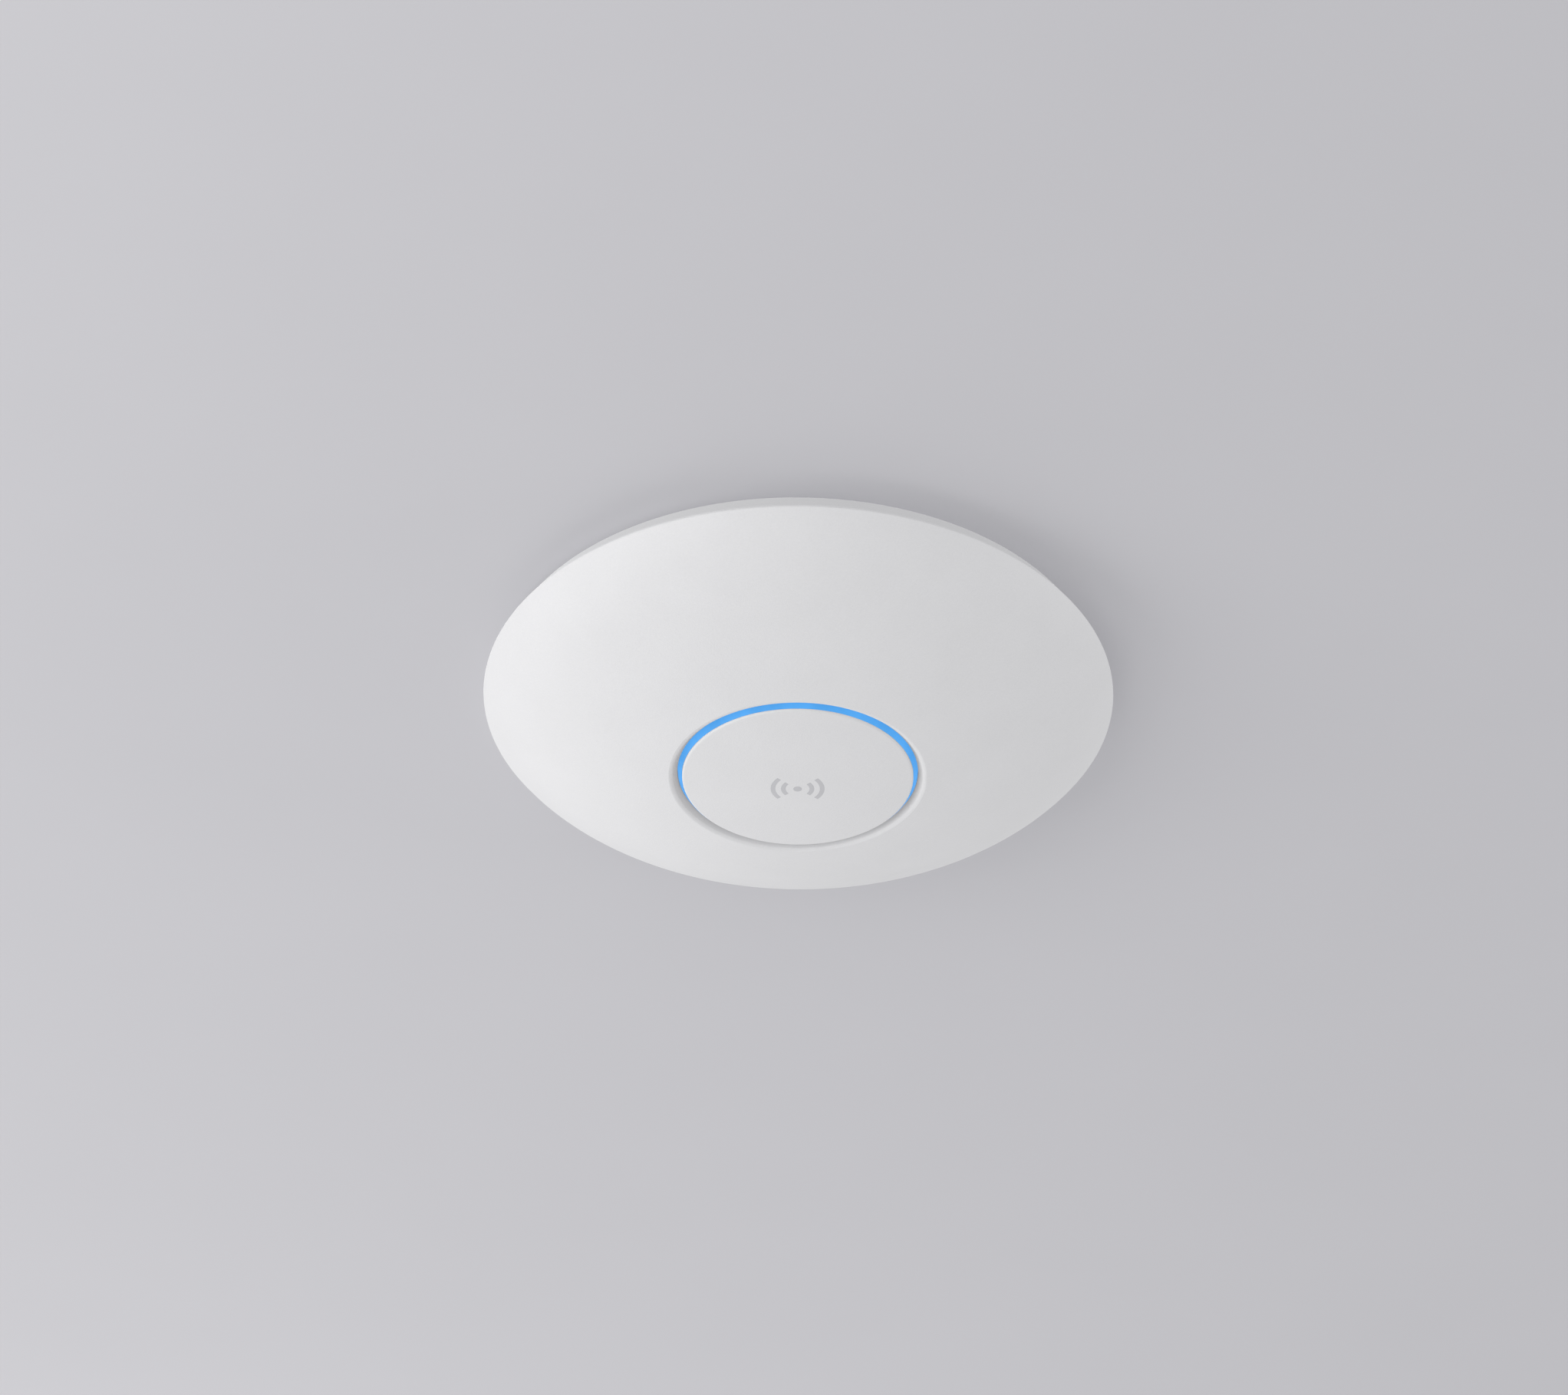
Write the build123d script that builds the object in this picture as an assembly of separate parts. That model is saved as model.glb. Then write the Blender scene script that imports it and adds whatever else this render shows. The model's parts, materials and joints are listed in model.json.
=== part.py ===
from build123d import *
import os
from math import cos, radians, sin, sqrt

# Ceiling access point, in millimetres. The origin is the centre of the bracket's ceiling face, +Z points
# up into the ceiling, and the housing hangs towards -Z. The front, with the cable bay, is towards -Y.

# Driving dimensions of the outside
RIM_RADIUS = 80.25  # dome's edge before it is rounded, which brings the widest circle to 80
TOTAL_HEIGHT = 33.0  # ceiling face to the middle of the centre cap
RIM_Z = -6.9  # height of the dome's edge
BACK_RADIUS = 76.0  # rear edge of the tapered shell
BACK_Z = -1.1  # rear face of the shell, which stands just clear of the ceiling
WALL = 2.0  # moulded wall of both shells
SEAM = 0.25  # visible gap between dome and rear shell
EDGE = 0.3  # rounding of a moulded outer edge

# Dome: part of an ellipse turned about Z, through the widest circle
DOME_Z = 3.4  # height of the ellipse's centre
DOME_B = 37.0  # half height of the ellipse
DOME_A = RIM_RADIUS / sqrt(1 - ((RIM_Z - DOME_Z) / DOME_B) ** 2)  # half width

# Centre cap, light ring and the groove between the ring and the dome
CAP_RADIUS = 29.1
CAP_EDGE_Z = -31.0
CAP_ROUND = 0.5  # rounding of the cap's edge
CAP_UNDER_Z = -29.5
CAP_HOLLOW = (23.0, -30.4)  # radius and floor height of the space behind the cap
RING_TIP_RADIUS = 29.2
RING_TIP_WIDTH = 0.15
RING_TIP_Z = -30.5
RING_STEP_Z = -29.4  # the ring's shoulder behind the cap
RING_FOOT_RADIUS = 30.2
RING_FOOT_Z = -29.2
FLANGE_RADII = (27.6, 32.6)
FLANGE_Z = (-28.2, -27.4)
LIP_RADIUS = 31.9  # edge of the dome's opening at its outer face
LIP_ROUND = 1.2  # rounding of that edge
OPENING_RADIUS = 30.3  # the same opening at the foot of the groove
GROOVE_FOOT_Z = -29.1
COLLAR_RADIUS = 33.9
COLLAR_Z = -29.2

# Mark let into the cap: a dot with two pairs of arcs
EMBLEM_Y = 1.5
EMBLEM_DEPTH = 0.25
DOT_RADIUS = 1.1
ARC_RADII = (3.0, 5.6)
ARC_WIDTH = 1.2
ARC_HALF_ANGLE = 42.0

# Bracket
PLATE = 1.8
BRACKET_RADIUS = 47.0
BRACKET_DEPTH = 4.0
BRACKET_RIM_INNER = 43.5
RIB_FOOT_Z = -3.4
RIB_INNER = 22.0
RIB_HALF = 0.8  # half of a rib's thickness
RIB_ANGLES = (-72, -20, 20, 70, 124, 160, 200, 252)
SCREW_CIRCLE = 38.0  # radius of the four ceiling screws
SCREW_HOLE = 2.3
SCREW_ANGLES = (45, 135, 225, 315)
SCREW_BOSS = 5.0
BOX_SLOT_X = 30.0  # half of the wall box's 60 mm screw spacing
BOX_SLOT = (7.0, 4.4)
CEILING_GROOVE = (41.6, 42.6)
ENGRAVING = 0.6

# Bayonet between bracket and housing
TAB_RADIUS = 52.0
TAB_TOP_Z = -2.8
LUG_ANGLES = (30, 150, 270)
LUG_HALF = 8.0  # degrees, half of each tab and each hook
STOP_GAP = 0.3  # degrees between hook and stop when locked
STOP_WIDTH = 2.5  # degrees
HOOK_INNER = 48.5
HOOK_UNDER_Z = -2.5

# Recess in the rear shell that takes the bracket
RECESS_RADIUS = 54.0
RECESS_WALL_RADIUS = 56.0
RECESS_Z = -5.0
RECESS_UNDER_Z = -6.8

# Lock lever
LEVER_PIVOT = (-15.0, 42.5)
LEVER_END = (3.5, 48.5)
LEVER_Z = (-4.0, -2.0)
LEVER_HALF = 1.6  # half of the bar's width
LEVER_EYE = 3.0
LEVER_GAP_ANGLES = (76, 115)  # opening in the bracket's rim for the tooth
PIN_RADIUS = 1.5
PIN_TOP_Z = -0.3
PIN_HEAD_Z = (-4.6, -4.1)
PIN_HEAD_RADIUS = 2.5
RUNNING_CLEARANCE = 0.05
POCKET_ANGLES = (83.5, 106.0)
POCKET_Z = (-4.5, -1.6)

# Cable bay and network socket
BAY_X = 16.0
BAY_Y = (-31.0, 7.0)
BAY_FLOOR_Z = -16.0
BAY_WALL = 1.6
JACK_WIDTH = 16.0
JACK_LENGTH = 21.5
JACK_HEIGHT = 11.6
JACK_FRONT_Y = 5.4
JACK_SKIN = 0.3
PLUG_HALF = 5.9  # half of the plug space's width
PLUG_Z = (-17.4, -10.4)
TAB_CHANNEL_HALF = 3.1
TAB_CHANNEL_TOP_Z = -8.6
PLUG_DEPTH = 14.0
CONTACT_PITCH = 1.02
CONTACT_HALF = 0.22

# Boards
BOARD_TOP_Z = -18.6
BOARD_UNDER_Z = -20.2
BOARD_RADIUS = 56.0
BOARD_SCREWS = [(x, y) for x in (-36.0, 36.0) for y in (-33.0, 33.0)]
LIGHT_BOARD_Z = (-26.2, -25.2)
LIGHT_BOARD_RADII = (25.8, 32.4)
LIGHT_SCREW_ANGLES = (60, 180, 300)
LIGHT_SCREW_CIRCLE = 36.0
LAMP_CIRCLE = 30.0
LAMP_COUNT = 12

# Screws between the shells
COVER_SCREW_CIRCLE = 66.0
COVER_SCREW_SEAT_Z = -2.9
COVER_BOSS_Z = -4.6  # foot of the rear shell's boss, where the dome's post meets it
COVER_BOSS_RADIUS = 4.4
COVER_POST_RADIUS = 3.4
SPIGOT_INNER = 73.9

# Vents: two fans of slots in the rear face
VENT_CIRCLE = 62.7
VENT_SLOT = (8.6, 1.8)
VENT_STEP = 4.6  # degrees
VENTS_EACH_SIDE = 6  # on each side of the middle one

# Side openings of the rear shell
RELEASE_ANGLE = 86.6
RELEASE_RADIUS = 1.2
LOCK_SLOT_ANGLE = 118.0
LOCK_SLOT_Z = (-5.7, -2.9)
LOCK_SLOT_HALF = 3.5

# Heat sink and shields
SINK_Z = (-16.2, -14.8)
SINK_RADIUS = 53.0
SINK_GAP = 0.6
FIN_TOP_Z = -7.6
FIN_HALF = 0.8
FIN_X = [26.0 + 4.0 * i for i in range(6)]
SHIELD_TOP_Z = -16.9
SHIELD_SKIN = 0.3
RIGHT_SHIELD = (25.0, 48.0, -9.0, 21.0)  # lowest and highest X, then Y
LEFT_SHIELD = (-48.0, -20.0, -18.0, 18.0)

# Reset button
RESET_XY = (21.0, -8.0)
PLUNGER_RADIUS = 1.2
PLUNGER_TOP_Z = -7.1
STEM_TOP_Z = -15.1
STEM_RADIUS = 1.7

# Aerials
AERIAL_X = (42.5, 46.4)
AERIAL_HEIGHT = 3.0
SHEET = 0.4  # thickness of the stamped strip

DEEP = 100.0  # longer than any cut needs to be

os.makedirs("parts", exist_ok=True)


# ---- helpers ---------------------------------------------------------------------------------------

def polar(radius, angle):
    return radius * cos(radians(angle)), radius * sin(radians(angle))


def block(x_range, y_range, z_range):
    size = [high - low for low, high in (x_range, y_range, z_range)]
    middle = [(high + low) / 2 for low, high in (x_range, y_range, z_range)]
    return Pos(*middle) * Box(*size)


def rod(x, y, radius, z_range):
    low, high = sorted(z_range)
    return Pos(x, y, (low + high) / 2) * Cylinder(radius, high - low)


def hole(x, y, radius, floor_z=-DEEP):
    """Cutter for a round hole that is open at the top."""
    return rod(x, y, radius, (floor_z, DEEP))


def tube(inner, outer, z_range, x=0.0, y=0.0):
    low, high = sorted(z_range)
    return rod(x, y, outer, z_range) - rod(x, y, inner, (low - 1, high + 1))


def outline_face(*points):
    return make_face(Polyline(*points, close=True))


def turned_face(face):
    """Solid of revolution about Z from a flat face, drawn as (radius, height)."""
    return revolve(Plane.XZ * face, Axis.Z)


def turned(*points):
    return turned_face(outline_face(*points))


def prism(points, z_range):
    """Upright prism on a closed outline of (x, y) points."""
    low, high = sorted(z_range)
    return extrude(Plane.XY.offset(low) * outline_face(*points), high - low)


def side_prism(points, x_range):
    """Prism along X on a closed outline of (y, z) points."""
    low, high = sorted(x_range)
    return extrude(Plane.YZ.offset(low) * outline_face(*points), high - low)


def sector(inner, outer, start, end, z_range):
    """Part of a ring between two angles in degrees, counted anticlockwise from +X."""
    middle = (start + end) / 2
    half = (end - start) / 2
    reach = 1.3 * outer / cos(radians(half))
    wedge = prism([(0, 0), polar(reach, -half), polar(reach, half)], z_range)
    return Rot(0, 0, middle) * (tube(inner, outer, z_range) & wedge)


def around(piece, angles):
    return [Rot(0, 0, angle) * piece for angle in angles]


def through_slot(length, width):
    """Cutter for a slot along X that goes right through."""
    return extrude(Plane.XY.offset(-DEEP) * SlotOverall(length, width), 2 * DEEP)


def rounded_block(x_range, y_range, z_range, radius):
    solid = block(x_range, y_range, z_range)
    return fillet(solid.edges().filter_by(Axis.Z), radius)


def grown(ranges, margin):
    return [(low - margin, high + margin) for low, high in ranges]


def circles_at(shape, radius, height):
    """Circular edges of this radius at this height."""
    found = []
    for edge in shape.edges().filter_by(GeomType.CIRCLE):
        if abs(edge.radius - radius) < 0.01 and abs(edge.center().Z - height) < 0.01:
            found.append(edge)
    return found


def pan_screw(head_radius, head_height, shank_radius, length):
    """Screw with its seat at z=0, its head upwards and a cross recess in the head."""
    head = rod(0, 0, head_radius, (0, head_height))
    head = fillet(circles_at(head, head_radius, head_height), head_height * 0.6)
    cross = block((-head_radius, head_radius), (-0.25, 0.25), (head_height / 2, head_height + 1))
    cross = cross & rod(0, 0, head_radius * 0.6, (0, head_height + 1))
    screw = head + rod(0, 0, shank_radius, (-length, 0))
    return screw - cross - Rot(0, 0, 90) * cross


def dome_height(radius):
    """Height of the dome's outer face at this distance from the axis."""
    return DOME_Z - DOME_B * sqrt(1 - (radius / DOME_A) ** 2)


def dome_face(inset):
    """Half section of the dome below the rim plane, drawn in by the given wall."""
    ellipse = Pos(0, DOME_Z) * Ellipse(DOME_A - inset, DOME_B - inset)
    return ellipse & Pos(DEEP / 2, RIM_Z - DEEP / 2) * Rectangle(DEEP, DEEP)


def inside_dome(piece):
    """The part of a boss that lies within the dome's outer face, by half the wall."""
    return piece & turned_face(dome_face(WALL / 2))


def save(node, *pieces):
    shape = pieces[0] if len(pieces) == 1 else Compound(children=list(pieces))
    shape.label = node
    export_step(shape, f"parts/{node}.step")


# ---- bracket ---------------------------------------------------------------------------------------

def bayonet_tab(angle):
    """Tab that carries a hook of the housing, with the stop that ends the locking turn."""
    stop = angle + LUG_HALF + STOP_GAP
    tab = sector(BRACKET_RIM_INNER + 1, TAB_RADIUS, angle - LUG_HALF, stop + STOP_WIDTH,
                 (-BRACKET_DEPTH, TAB_TOP_Z))
    return tab + sector(BRACKET_RADIUS - 1, TAB_RADIUS, stop, stop + STOP_WIDTH, (TAB_TOP_Z, BACK_Z))


def mounting_bracket():
    plate = rod(0, 0, BRACKET_RADIUS, (-PLATE, 0))
    plate = fillet(circles_at(plate, BRACKET_RADIUS, 0), 2 * EDGE)
    rim = tube(BRACKET_RIM_INNER, BRACKET_RADIUS, (-BRACKET_DEPTH, -PLATE))
    rim = fillet(circles_at(rim, BRACKET_RADIUS, -BRACKET_DEPTH), EDGE)
    rim -= sector(BRACKET_RIM_INNER - 5, BRACKET_RADIUS + 5, *LEVER_GAP_ANGLES, (-DEEP, -PLATE))
    bracket = plate + rim
    for angle in LUG_ANGLES:
        bracket += bayonet_tab(angle)
    # ribs, screw bosses, the wall round the cable opening and the lever's seat
    for angle in RIB_ANGLES:
        rib = block((RIB_INNER, BRACKET_RIM_INNER + 0.5), (-RIB_HALF, RIB_HALF), (RIB_FOOT_Z, -PLATE))
        bracket += Rot(0, 0, angle) * rib
    opening = [(-BAY_X, BAY_X), (BAY_Y[0] - 1, BAY_Y[1] + 1)]
    bracket += rounded_block(*grown(opening, 1.5), (RIB_FOOT_Z, -PLATE), 5.5)
    for angle in SCREW_ANGLES:
        bracket += rod(*polar(SCREW_CIRCLE, angle), SCREW_BOSS, (-3.0, -PLATE))
    bracket += rod(*LEVER_PIVOT, LEVER_EYE + 0.4, (LEVER_Z[1] + 0.1, -PLATE + 0.1))
    # openings
    bracket -= rounded_block(*opening, (-DEEP, DEEP), 4.0)
    for angle in SCREW_ANGLES:
        bracket -= hole(*polar(SCREW_CIRCLE, angle), SCREW_HOLE)
    for side in (-1, 1):
        bracket -= Pos(side * BOX_SLOT_X, 0) * through_slot(*BOX_SLOT)
    bracket -= hole(*RESET_XY, 3.0)
    bracket -= rod(*LEVER_PIVOT, PIN_RADIUS, (-DEEP, PIN_TOP_Z))
    # groove and arrow in the ceiling face
    bracket -= tube(*CEILING_GROOVE, (-ENGRAVING, 1))
    return bracket - prism([(-2.5, -37.5), (2.5, -37.5), (0, -41.0)], (-ENGRAVING, 1))


def latch_pin():
    """Headed pin, pressed into the bracket from below, that the lever turns on."""
    head = rod(*LEVER_PIVOT, PIN_HEAD_RADIUS, PIN_HEAD_Z)
    head = fillet(circles_at(head, PIN_HEAD_RADIUS, PIN_HEAD_Z[0]), 0.2)
    return rod(*LEVER_PIVOT, PIN_RADIUS, (PIN_HEAD_Z[1], PIN_TOP_Z)) + head


def latch_arm():
    start = Vector(*LEVER_PIVOT)
    run = Vector(*LEVER_END) - start
    angle = run.get_signed_angle(Vector(1, 0), Vector(0, 0, -1))
    bar = block((0, run.length), (-LEVER_HALF, LEVER_HALF), LEVER_Z) + rod(run.length, 0, LEVER_HALF, LEVER_Z)
    arm = Pos(start) * Rot(0, 0, angle) * bar
    arm += rod(*LEVER_PIVOT, LEVER_EYE, LEVER_Z)
    arm += prism([(0.6, 48.0), (6.0, 48.0), (4.4, 55.1), (2.2, 55.1)], LEVER_Z)  # tooth
    return arm - hole(*LEVER_PIVOT, PIN_RADIUS + RUNNING_CLEARANCE)


# ---- rear shell ------------------------------------------------------------------------------------

def lock_pocket():
    """Pocket that the lever's tooth rests in. Its ramp pushes the tooth inwards as the housing turns."""
    start, end = POCKET_ANGLES
    rest_end = start + 5.0
    deep = RECESS_RADIUS + 1.45
    ramp_steps = 3
    ramp_slope = 1.65 / (end - rest_end)  # drop in radius for each degree
    outline = [polar(RECESS_RADIUS - 2, start), polar(deep, start)]
    for step in range(ramp_steps + 1):
        angle = rest_end + (end - rest_end) * step / ramp_steps
        outline.append(polar(deep - ramp_slope * (angle - rest_end), angle))
    return prism(outline + [polar(RECESS_RADIUS - 2, end)], POCKET_Z)


def rear_dish():
    """Tapered dish with the round recess for the bracket and the inward hooks."""
    foot_z = RIM_Z + SEAM
    dish = turned((0, RECESS_Z), (RECESS_RADIUS, RECESS_Z), (RECESS_RADIUS, BACK_Z),
                  (BACK_RADIUS, BACK_Z), (RIM_RADIUS - 2 * EDGE, foot_z), (RIM_RADIUS - 2.7, foot_z),
                  (BACK_RADIUS - 2.2, BACK_Z - WALL), (RECESS_WALL_RADIUS, BACK_Z - WALL),
                  (RECESS_WALL_RADIUS, RECESS_UNDER_Z), (0, RECESS_UNDER_Z))
    dish = fillet(circles_at(dish, BACK_RADIUS, BACK_Z), 0.8)
    dish = fillet(circles_at(dish, RIM_RADIUS - 2 * EDGE, foot_z), EDGE)
    dish = fillet(circles_at(dish, RECESS_RADIUS, BACK_Z), 0.5)
    hook = sector(HOOK_INNER, RECESS_RADIUS + 1, -LUG_HALF, LUG_HALF, (HOOK_UNDER_Z, BACK_Z))
    for part in around(hook, LUG_ANGLES):
        dish += part
    start, end = POCKET_ANGLES
    pocket_wall = sector(RECESS_RADIUS + 0.5, RECESS_RADIUS + 3.4, start - 3.5, end + 4,
                         (RECESS_UNDER_Z, BACK_Z - 0.6))
    return dish + pocket_wall - lock_pocket()


def lock_slot():
    slot = block((BACK_RADIUS - 4, RIM_RADIUS + 5), (-LOCK_SLOT_HALF, LOCK_SLOT_HALF), LOCK_SLOT_Z)
    slot = fillet(slot.edges().filter_by(Axis.X), 1.2)
    return Rot(0, 0, LOCK_SLOT_ANGLE) * slot


def back_cover():
    shell = rear_dish()
    # cable bay
    bay = [(-BAY_X, BAY_X), BAY_Y]
    shell += block(*grown(bay, BAY_WALL), (BAY_FLOOR_Z - 1.5, RECESS_Z - 0.5))
    shell -= rounded_block(*bay, (BAY_FLOOR_Z, DEEP), 1.0)
    half = JACK_WIDTH / 2 + 0.2
    shell -= block((-half, half), (JACK_FRONT_Y - 0.1, BAY_Y[1] + BAY_WALL + 0.1),
                   (BOARD_TOP_Z - 0.2, BOARD_TOP_Z + JACK_HEIGHT + 0.1))
    # bosses: main board, screws between the shells, guide of the reset button
    for x, y in BOARD_SCREWS:
        shell += rod(x, y, 3.0, (BOARD_TOP_Z, RECESS_UNDER_Z + 0.5))
        shell -= rod(x, y, 1.25, (BOARD_TOP_Z - 1, BOARD_TOP_Z + 8))
    for angle in SCREW_ANGLES:
        x, y = polar(COVER_SCREW_CIRCLE, angle)
        shell += rod(x, y, COVER_BOSS_RADIUS, (COVER_BOSS_Z, BACK_Z - 1))
        shell -= hole(x, y, 3.1, COVER_SCREW_SEAT_Z)
        shell -= hole(x, y, 1.6, COVER_BOSS_Z - 1)
    shell += rod(*RESET_XY, PLUNGER_RADIUS * 2, (-13.0, RECESS_UNDER_Z + 0.5))
    shell -= rod(*RESET_XY, PLUNGER_RADIUS + RUNNING_CLEARANCE, (-14, RECESS_Z - 1.4))
    shell -= hole(*RESET_XY, 0.9, -14)
    # vents, release hole, lock slot and arrow
    vent = Pos(VENT_CIRCLE, 0) * through_slot(*VENT_SLOT)
    vent &= rod(0, 0, RIM_RADIUS, (RECESS_Z + 0.5, DEEP))
    for middle in (0, 180):
        for step in range(-VENTS_EACH_SIDE, VENTS_EACH_SIDE + 1):
            shell -= Rot(0, 0, middle + VENT_STEP * step) * vent
    release = Pos(RECESS_RADIUS + 14.5, 0, (LEVER_Z[0] + LEVER_Z[1]) / 2) * Rot(0, 90, 0)
    shell -= Rot(0, 0, RELEASE_ANGLE) * release * Cylinder(RELEASE_RADIUS, 27)
    shell -= lock_slot()
    return shell - prism([(-2.5, -60), (2.5, -60), (0, -56.5)], (BACK_Z - ENGRAVING, 1))


def cover_screws():
    screw = Pos(COVER_SCREW_CIRCLE, 0, COVER_SCREW_SEAT_Z) * pan_screw(2.8, 1.6, 1.5, 10.0)
    return around(screw, SCREW_ANGLES)


# ---- dome, cap and light ring ----------------------------------------------------------------------

def ring_opening():
    """Section of the dome's opening, whose lip slopes down into the groove."""
    slope = (dome_height(LIP_RADIUS) - GROOVE_FOOT_Z) / (LIP_RADIUS - OPENING_RADIUS)
    flare = 2 * LIP_RADIUS - OPENING_RADIUS
    flare_z = GROOVE_FOOT_Z + slope * (flare - OPENING_RADIUS)
    return outline_face((0, -20), (OPENING_RADIUS, -20), (OPENING_RADIUS, GROOVE_FOOT_Z),
                        (flare, flare_z), (flare, -40), (0, -40))


def rectangle(radii, heights):
    """Rectangular section between two radii and two heights."""
    (inner, outer), (low, high) = radii, heights
    return outline_face((inner, low), (outer, low), (outer, high), (inner, high))


def front_cover():
    section = dome_face(0) - dome_face(WALL)
    section += rectangle((OPENING_RADIUS - 1, COLLAR_RADIUS), (COLLAR_Z, FLANGE_Z[0]))
    # spigot that locates the rear shell
    section += rectangle((SPIGOT_INNER, RIM_RADIUS - WALL), (RIM_Z - 1.7, RIM_Z))
    section += rectangle((SPIGOT_INNER, SPIGOT_INNER + 1.3), (RIM_Z - 1.1, RIM_Z + 1.7))
    dome = turned_face(section - ring_opening())
    dome = fillet(circles_at(dome, LIP_RADIUS, dome_height(LIP_RADIUS)), LIP_ROUND)
    dome = fillet(circles_at(dome, RIM_RADIUS, RIM_Z), EDGE)
    post_top = COVER_BOSS_Z - 0.1
    for angle in SCREW_ANGLES:
        x, y = polar(COVER_SCREW_CIRCLE, angle)
        dome += inside_dome(rod(x, y, COVER_POST_RADIUS, (-25, RIM_Z)))
        dome += rod(x, y, COVER_POST_RADIUS, (RIM_Z - 0.5, post_top))
        dome -= hole(x, y, 1.5, -13.5)
    for angle in LIGHT_SCREW_ANGLES:
        x, y = polar(LIGHT_SCREW_CIRCLE, angle)
        dome += inside_dome(rod(x, y, 2.6, (-32, LIGHT_BOARD_Z[0])))
        dome -= hole(x, y, 1.0, -28.7)
    return dome


def light_ring():
    inner, outer = FLANGE_RADII
    under, top = FLANGE_Z
    return turned((RING_TIP_RADIUS, RING_TIP_Z), (RING_TIP_RADIUS + RING_TIP_WIDTH, RING_TIP_Z),
                  (RING_FOOT_RADIUS, RING_FOOT_Z), (RING_FOOT_RADIUS, under), (outer, under),
                  (outer, top), (inner, top), (inner, RING_STEP_Z), (RING_TIP_RADIUS, RING_STEP_Z))


def cap_blank():
    """Crowned disc, with a hollow behind it."""
    crown = CAP_EDGE_Z + TOTAL_HEIGHT
    sphere_radius = (CAP_RADIUS ** 2 + crown ** 2) / (2 * crown)
    disc = rod(0, 0, CAP_RADIUS, (-TOTAL_HEIGHT - 1, CAP_UNDER_Z))
    disc = disc & Pos(0, 0, sphere_radius - TOTAL_HEIGHT) * Sphere(sphere_radius)
    disc = fillet(circles_at(disc, CAP_RADIUS, CAP_EDGE_Z), CAP_ROUND)
    hollow_radius, hollow_z = CAP_HOLLOW
    return disc - hole(0, 0, hollow_radius, hollow_z)


def emblem_outline():
    z_range = (-TOTAL_HEIGHT - 1, CAP_UNDER_Z)
    shapes = rod(0, 0, DOT_RADIUS, z_range)
    for inner in ARC_RADII:
        for side in (0, 180):
            shapes += sector(inner, inner + ARC_WIDTH, side - ARC_HALF_ANGLE, side + ARC_HALF_ANGLE, z_range)
    return Pos(0, EMBLEM_Y, 0) * shapes


def cap_and_emblem():
    blank = cap_blank()
    inlay = emblem_outline() & (blank - Pos(0, 0, EMBLEM_DEPTH) * blank)
    cap = blank - inlay
    catch_z = LIGHT_BOARD_Z[1] + 0.1
    leg = sector(23.8, 25.4, -8, 8, (catch_z + 0.8, CAP_UNDER_Z))
    leg += sector(23.8, 26.7, -8, 8, (catch_z, catch_z + 0.8))
    for part in around(leg, LIGHT_SCREW_ANGLES):
        cap += part
    return cap, list(inlay.solids())


# ---- main board and what it carries ----------------------------------------------------------------

def main_board():
    board = rod(0, 0, BOARD_RADIUS, (BOARD_UNDER_Z, BOARD_TOP_Z))
    for x, y in BOARD_SCREWS:
        board -= hole(x, y, 1.4)
    for side in (-1, 1):
        board -= block((-8, 8), sorted((side * (BOARD_RADIUS - 2), side * (BOARD_RADIUS + 4))), (-DEEP, DEEP))
    return board


def board_screws():
    screw = Rot(180, 0, 0) * pan_screw(2.4, 1.4, 1.25, 8.0)
    return [Pos(x, y, BOARD_UNDER_Z) * screw for x, y in BOARD_SCREWS]


def chips(places, width, depth, height):
    """Flat packages on the board, each with a small corner dot."""
    made = []
    for x, y in places:
        body = Pos(x, y, BOARD_TOP_Z + height / 2) * Box(width, depth, height)
        body = chamfer(body.faces().sort_by(Axis.Z)[-1].edges(), 0.12)
        dot_x, dot_y = x - width / 2 + 1.1, y - depth / 2 + 1.1
        made.append(body - hole(dot_x, dot_y, 0.4, BOARD_TOP_Z + height - 0.1))
    return made


def ceramic_capacitors():
    size = (1.6, 0.8, 0.8)
    made = []
    for column in range(6):
        for row in range(4):
            x, y = 28.0 + 2.6 * column, -7.0 + 4.2 * row
            made.append(Pos(x, y, BOARD_UNDER_Z - size[2] / 2) * Box(*size))
    for column in range(7):
        upright = Pos(-14.0 + 1.5 * column, -37.5, BOARD_TOP_Z + size[2] / 2) * Rot(0, 0, 90)
        made.append(upright * Box(*size))
    return made


def shield_frame(x0, x1, y0, y1):
    area = [(x0, x1), (y0, y1)]
    frame = block(*grown(area, -SHIELD_SKIN), (BOARD_TOP_Z, SHIELD_TOP_Z - SHIELD_SKIN))
    return frame - block(*grown(area, -0.7), (-DEEP, DEEP))


def shield_lid(x0, x1, y0, y1):
    area = [(x0, x1), (y0, y1)]
    lid = block(*area, (SHIELD_TOP_Z - 0.9, SHIELD_TOP_Z))
    lid = fillet(lid.edges().filter_by(Axis.Z), 0.8)
    lid -= block(*grown(area, -SHIELD_SKIN), (-DEEP, SHIELD_TOP_Z - SHIELD_SKIN))
    pitch = 4.0
    columns = int((x1 - x0 - 6) // pitch)
    for column in range(columns):
        for y in (y0 + 2.2, y1 - 2.2):
            lid -= hole(x0 + 5 + pitch * column, y, 0.6)
    return lid


def thermal_pads():
    pads = []
    for x0, x1, y0, y1 in (RIGHT_SHIELD, LEFT_SHIELD):
        pads.append(block(*grown([(x0, x1), (y0, y1)], -4.0), (SHIELD_TOP_Z, SINK_Z[0])))
    return pads


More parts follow.
